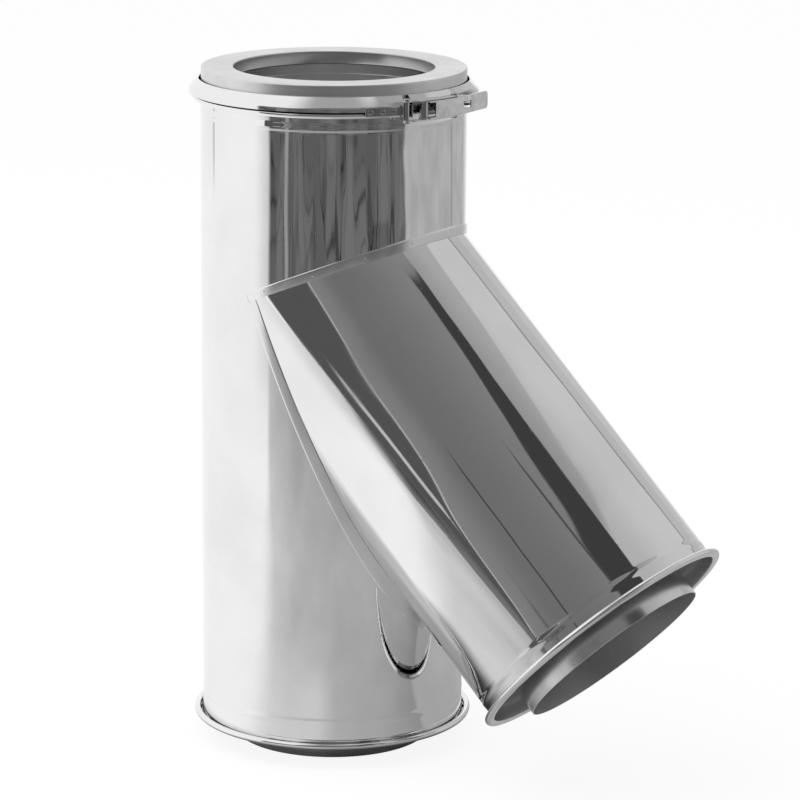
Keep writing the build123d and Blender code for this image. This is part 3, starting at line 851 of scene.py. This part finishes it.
# Three rivets in the catch's strap and two in the fulcrum's, by their angles round the band
strap_outer = band_outer + 1.0 * MM
rivet_angles = (48.6, 53.6, 58.2, 76.6, 81.0)
rivet_places = [round_the_run(strap_outer - 0.05 * MM, angle, band_middle) for angle in rivet_angles]
rivets = heads("band_rivet_heads", rivet_places, 2.3 * MM, 0.85 * MM, rivet_steel)
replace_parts(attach(rivets, "fitting"), "band_rivets")

# Spot welds along the middle of the upper lap
weld_places = []
weld_over_joint = 3.6 * MM
weld_seat = casing_outer + 0.62 * MM
for angle in range(4, 180, 22):
    towards = sin(radians(angle))
    rise = crossing_height + abs(casing_outer * towards) * shallow + weld_over_joint
    weld_places.append(round_the_run(weld_seat, angle, rise))
welds = heads("spot_welds", weld_places, 1.7 * MM, 0.28 * MM, branch_sheet, unevenness=0.4)
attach(welds, "fitting")


# Floor, surroundings and lamps
def bearing(tree, place):
    """Bearing and elevation of a place in degrees, and its distance from the run's axis."""
    parts = put(tree, "ShaderNodeSeparateXYZ", {0: place}).outputs
    squares = [sum_of(tree, "POWER", part, 2.0) for part in (parts[0], parts[1])]
    away = sum_of(tree, "SQRT", sum_of(tree, "ADD", *squares))
    lift = sum_of(tree, "DEGREES", sum_of(tree, "ARCTAN2", parts[2], away))
    return turn_of(tree, parts), lift, away


def glowing(name):
    """Material that shows its own tone, with no light or shade on it."""
    finish = bpy.data.materials.new(name)
    finish.use_nodes = True
    tree = finish.node_tree
    tree.nodes.clear()
    glow = tree.nodes.new("ShaderNodeEmission")
    put(tree, "ShaderNodeOutputMaterial", {0: glow.outputs[0]})
    place = put(tree, "ShaderNodeTexCoord").outputs["Object"]
    return finish, tree, glow, place


def layered(tree, base, layers):
    """Greys laid over one another: each layer is its tone and where it shows."""
    tone = base
    for level, share in layers:
        tone = put(tree, "ShaderNodeMix", {0: share, 2: tone, 3: level}, data_type="FLOAT").outputs[0]
    return tone


def dark_streaks(tree, turn, drift):
    """Tone of the dark side: soft upright patches with thin dark outlines, and one lit strip."""
    values = {0: sum_of(tree, "MULTIPLY", turn, 0.12), 1: drift}
    upright = put(tree, "ShaderNodeCombineXYZ", values).outputs[0]
    sway = sum_of(tree, "MULTIPLY", sum_of(tree, "SUBTRACT", noise(tree, upright, 1.3, 2.0), 0.5), 9.0)
    values = {0: sum_of(tree, "ADD", turn, sway), 1: sum_of(tree, "MULTIPLY", drift, 6.0)}
    place = put(tree, "ShaderNodeCombineXYZ", values).outputs[0]
    patches = noise(tree, place, 0.07, 0.8, 0.4)
    tone = spread_of(tree, patches, 0.36, 0.62, 0.12, 0.185)
    # Each outline follows one level of the patches, with its width and how much darker it is
    for level, width, depth in ((0.5, 0.012, 0.10), (0.44, 0.008, 0.08), (0.56, 0.010, 0.06)):
        off_line = sum_of(tree, "ABSOLUTE", sum_of(tree, "SUBTRACT", patches, level))
        tone = sum_of(tree, "SUBTRACT", tone, spread_of(tree, off_line, 0.0, width, depth, 0.0))
    blocks = spread_of(tree, noise(tree, place, 0.13, 0.0), 0.60, 0.63, 0.0, 0.05)
    lit_strip = sum_of(tree, "MULTIPLY", window(tree, turn, -7.2, -4.2, 0.8), 0.22)
    return sum_of(tree, "ADD", sum_of(tree, "SUBTRACT", tone, blocks), lit_strip)


def past_line(tree, turn, lift, slope, start):
    """How far in degrees a bearing lies past a slanting edge: turn = start + slope * lift."""
    return sum_of(tree, "SUBTRACT", turn, sum_of(tree, "MULTIPLY_ADD", lift, slope, start))


def over_line(tree, turn, lift, slope, start):
    """How far in degrees a bearing lies over a slanting edge: lift = start + slope * turn."""
    return sum_of(tree, "SUBTRACT", lift, sum_of(tree, "MULTIPLY_ADD", turn, slope, start))


# Greys of the studio's parts, as the bright sheet mirrors them
back_wall_tone = 0.53
back_line_tone = 0.27
left_back_tone = 0.58
roof_tone = 0.42
doorway_tone = 0.05
upper_crack_tone = 0.07
lower_crack_tone = 0.06
screen_tone = 0.095
screen_rim_tone = 0.5
sill_tone = 0.55


def room_tones():
    """The studio that the bright sheet mirrors: white to the left, grey and dark walls elsewhere."""
    finish, tree, glow, place = glowing("studio_walls")
    turn, lift, _ = bearing(tree, place)

    past_corner = past_line(tree, turn, lift, 0.8, 51.9)
    past_screen = past_line(tree, turn, lift, 0.35, -8.6)
    front_wall = all_of(tree, short_of(tree, past_corner, 0.5, 0.7), past(tree, past_screen, 0.3, 0.2))
    over_cornice = past(tree, lift, 49.2, 0.4)
    cornice_tone = spread_of(tree, turn, 88.0, 132.0, 0.33, 0.44)
    beside_corner = layered(
        tree, spread_of(tree, turn, 98.0, 150.0, 0.50, 0.63), [(cornice_tone, over_cornice)]
    )
    by_screen = spread_of(tree, past_screen, 0.0, 12.0, 1.0, 0.0)
    wall_tone = layered(tree, spread_of(tree, turn, 9.0, 96.0, 0.172, 0.25), [(0.245, by_screen)])
    doorway = all_of(
        tree,
        short_of(tree, over_line(tree, turn, lift, 0.47, 17.8), 0.0, 0.4),
        window(tree, lift, 20.0, 57.85, 0.12),
        past(tree, turn, 58.0, 1.5),
    )
    upper_crack = all_of(
        tree,
        window(tree, over_line(tree, turn, lift, -0.51, 73.9), -1.0, 0.4, 0.3),
        window(tree, turn, 53.5, 60.0, 0.5),
    )
    lower_crack = all_of(
        tree,
        window(tree, over_line(tree, turn, lift, -1.14, 36.5), -1.1, 0.8, 0.3),
        window(tree, turn, 11.6, 16.2, 0.4),
    )
    low_front = all_of(tree, window(tree, turn, -1.0, 97.0, 1.0), short_of(tree, lift, 6.0, 1.0))
    under_screen_top = short_of(tree, lift, 24.0, 3.0)
    dark_screen = all_of(
        tree, past(tree, turn, -26.0, 0.7), short_of(tree, past_screen, 0.0, 0.2), under_screen_top
    )
    screen_rim = all_of(tree, window(tree, past_screen, 0.0, 0.35, 0.15), under_screen_top)
    sill = all_of(tree, window(tree, lift, -1.7, 0.2, 0.25), window(tree, turn, -17.6, -10.5, 0.8))
    layers = [
        (beside_corner, past(tree, past_corner, 0.0, 0.7)),
        (back_wall_tone, past(tree, turn, 168.6, 0.4)),
        (back_line_tone, window(tree, turn, 167.9, 169.3, 0.3)),
        (left_back_tone, short_of(tree, turn, -165.0, 3.0)),
        (roof_tone, all_of(tree, window(tree, turn, -22.0, 98.0, 22.0), past(tree, lift, 62.0, 12.0))),
        (wall_tone, all_of(tree, front_wall, short_of(tree, lift, 70.0, 4.0))),
        (doorway_tone, all_of(tree, front_wall, doorway)),
        (upper_crack_tone, all_of(tree, front_wall, upper_crack)),
        (lower_crack_tone, lower_crack),
        (dark_streaks(tree, turn, lift), low_front),
        (screen_tone, dark_screen),
        (screen_rim_tone, screen_rim),
        (sill_tone, sill),
    ]
    tree.links.new(layered(tree, 1.0, layers), glow.inputs["Color"])
    return finish


far_line_tone = 0.62
soft_edge_tone = 0.70
far_back_line_tone = 0.35


def floor_finish():
    """Pale floor: nearly white with the fitting's shadow. To glossy rays it glows with painted light and
    shade instead: grey where the sheet mirrors its dark side, dimmer farther out, and with a painted shadow
    close under the rims.
    """
    finish, tree, glow, place = glowing("pale_floor")
    turn, _, away = bearing(tree, place)
    # Painted light and shade in the glossy glow: greys by bearing, dimmer farther out
    by_turn = layered(
        tree,
        0.92,
        [
            (0.74, spread_of(tree, turn, -30.0, -14.0)),
            (0.53, spread_of(tree, turn, -18.0, 8.0)),
            (0.44, spread_of(tree, turn, 5.0, 60.0)),
            (0.34, spread_of(tree, turn, 60.0, 98.0)),
        ],
    )
    close_tone = spread_of(tree, turn, -32.0, 6.0, 0.90, 0.67)
    close_by = all_of(tree, spread_of(tree, away, 0.2, 0.5, 1.0, 0.0), window(tree, turn, -60.0, 30.0, 8.0))
    dimmed = sum_of(tree, "MULTIPLY", by_turn, spread_of(tree, away, 0.6, 1.4, 1.0, 0.72))
    near_tone = layered(tree, dimmed, [(close_tone, close_by)])
    clouds = spread_of(tree, noise(tree, place, 2.6, 3.0, 0.6), 0.3, 0.7, 0.92, 1.06)
    far_streaks = (dark_streaks(tree, turn, away), spread_of(tree, away, 1.45, 1.6))
    dark_side = layered(tree, sum_of(tree, "MULTIPLY", near_tone, clouds), [far_streaks])
    swerve = sum_of(tree, "MULTIPLY", sum_of(tree, "SUBTRACT", noise(tree, place, 1.9, 1.0), 0.5), 7.0)
    softness = spread_of(tree, away, 0.3, 1.1, 12.0, 2.0)
    left_edge = sum_of(tree, "DIVIDE", sum_of(tree, "ADD", turn, 21.5), softness)
    on_dark_side = all_of(
        tree,
        spread_of(tree, left_edge, -1.0, 1.0),
        short_of(tree, sum_of(tree, "ADD", turn, swerve), 97.0, 2.0),
    )
    right_tone = spread_of(tree, noise(tree, place, 2.0, 3.0, 0.6), 0.3, 0.7, 0.42, 0.52)
    far_line = all_of(tree, window(tree, turn, -92.0, -89.0, 0.8), spread_of(tree, away, 2.3, 2.8))
    back_line = all_of(tree, window(tree, turn, 153.4, 156.6, 1.0), spread_of(tree, away, 1.8, 2.2))
    back_tone = spread_of(tree, turn, -180.0, -160.0, 0.5, 1.0)
    soft_edge = all_of(tree, spread_of(tree, turn, -38.0, -20.0), spread_of(tree, away, 0.9, 1.8))
    layers = [
        (far_line_tone, far_line),
        (soft_edge_tone, soft_edge),
        (right_tone, past(tree, turn, 96.0, 3.0)),
        (far_back_line_tone, back_line),
        (back_tone, short_of(tree, turn, -158.0, 1.0)),
        (dark_side, on_dark_side),
    ]
    tone = layered(tree, 1.0, layers)
    # Painted shadow: the glossy glow goes dark close under the rims
    painted_shadow_under_rim = spread_of(tree, away, 0.085, 0.16, 0.08, 1.0)
    tree.links.new(sum_of(tree, "MULTIPLY", tone, painted_shadow_under_rim), glow.inputs["Color"])
    lit = put(tree, "ShaderNodeBsdfDiffuse", {0: grey(0.94)}).outputs[0]
    white = put(tree, "ShaderNodeEmission", {0: grey(1.0), 1: 1.02}).outputs[0]
    seen = put(tree, "ShaderNodeMixShader", {0: 0.88, 1: lit, 2: white}).outputs[0]
    rays = put(tree, "ShaderNodeLightPath").outputs
    plain = put(tree, "ShaderNodeMixShader", {0: rays["Is Camera Ray"], 1: lit, 2: seen}).outputs[0]
    values = {0: rays["Is Glossy Ray"], 1: plain, 2: glow.outputs[0]}
    shown = put(tree, "ShaderNodeMixShader", values).outputs[0]
    output = next(node for node in tree.nodes if node.type == "OUTPUT_MATERIAL")
    tree.links.new(shown, output.inputs["Surface"])
    return finish


def stage_mesh(name, shape, finish, centre=(0, 0, 0)):
    """A piece of the studio, which isn't part of the object."""
    mesh = bpy.data.meshes.new(name)
    shape.to_mesh(mesh)
    shape.free()
    mesh.materials.append(finish)
    mesh.shade_smooth()
    obj = placed(name, mesh)
    obj.location = centre
    return obj


disc = bmesh.new()
bmesh.ops.create_circle(disc, cap_ends=True, segments=96, radius=14.0)
stage_mesh("studio_floor", disc, floor_finish())

globe = bmesh.new()
bmesh.ops.create_uvsphere(globe, u_segments=64, v_segments=48, radius=3.2)
walls = stage_mesh("studio_walls", globe, room_tones(), (0, 0, 0.3))
for ray in ("camera", "diffuse", "shadow", "transmission", "volume_scatter"):
    setattr(walls, "visible_" + ray, False)

lamp = bpy.data.lights.new("soft_overhead_lamp", "AREA")
lamp.shape = "DISK"
lamp.size = 2.6
lamp.energy = 34
overhead = bpy.data.objects.new("soft_overhead_lamp", lamp)
overhead.location = (-0.9, -1.0, 2.6)
lit_place = Vector((0.05, 0, 0.25))
overhead.rotation_euler = (Vector(overhead.location) - lit_place).to_track_quat("Z", "Y").to_euler()
overhead.visible_glossy = False
overhead.visible_camera = False
bpy.context.scene.collection.objects.link(overhead)

world = bpy.data.worlds.new("white_studio")
world.use_nodes = True
bpy.context.scene.world = world
sky = world.node_tree
sky.nodes.clear()
rays = put(sky, "ShaderNodeLightPath").outputs
glossy_or_clear = sum_of(sky, "MAXIMUM", rays["Is Glossy Ray"], rays["Is Transmission Ray"])
direct = sum_of(sky, "MAXIMUM", rays["Is Camera Ray"], glossy_or_clear)
level = put(sky, "ShaderNodeMix", {0: direct, 2: 0.75, 3: 1.0}, data_type="FLOAT").outputs[0]
air = put(sky, "ShaderNodeBackground", {0: grey(1.0), 1: level}).outputs[0]
put(sky, "ShaderNodeOutputWorld", {0: air})

# Camera at the photograph's viewing angle
camera = bpy.data.objects.new("camera", bpy.data.cameras.new("camera"))
camera.data.lens = 169.14
camera.data.sensor_width = 36
camera_place = (1.59223, -2.30101, 0.93261)
bearing_angle, pitch, roll = radians(33.635), radians(13.469), radians(0.414)
forward = Vector((-sin(bearing_angle) * cos(pitch), cos(bearing_angle) * cos(pitch), -sin(pitch)))
level_right = Vector((cos(bearing_angle), sin(bearing_angle), 0))
level_up = level_right.cross(forward)
right = cos(roll) * level_right + sin(roll) * level_up
up = -sin(roll) * level_right + cos(roll) * level_up
facing = Matrix((right, up, -forward)).transposed().to_4x4()
camera.matrix_world = Matrix.Translation(camera_place) @ facing
bpy.context.scene.collection.objects.link(camera)
bpy.context.scene.camera = camera
bpy.context.scene.view_settings.view_transform = "Standard"
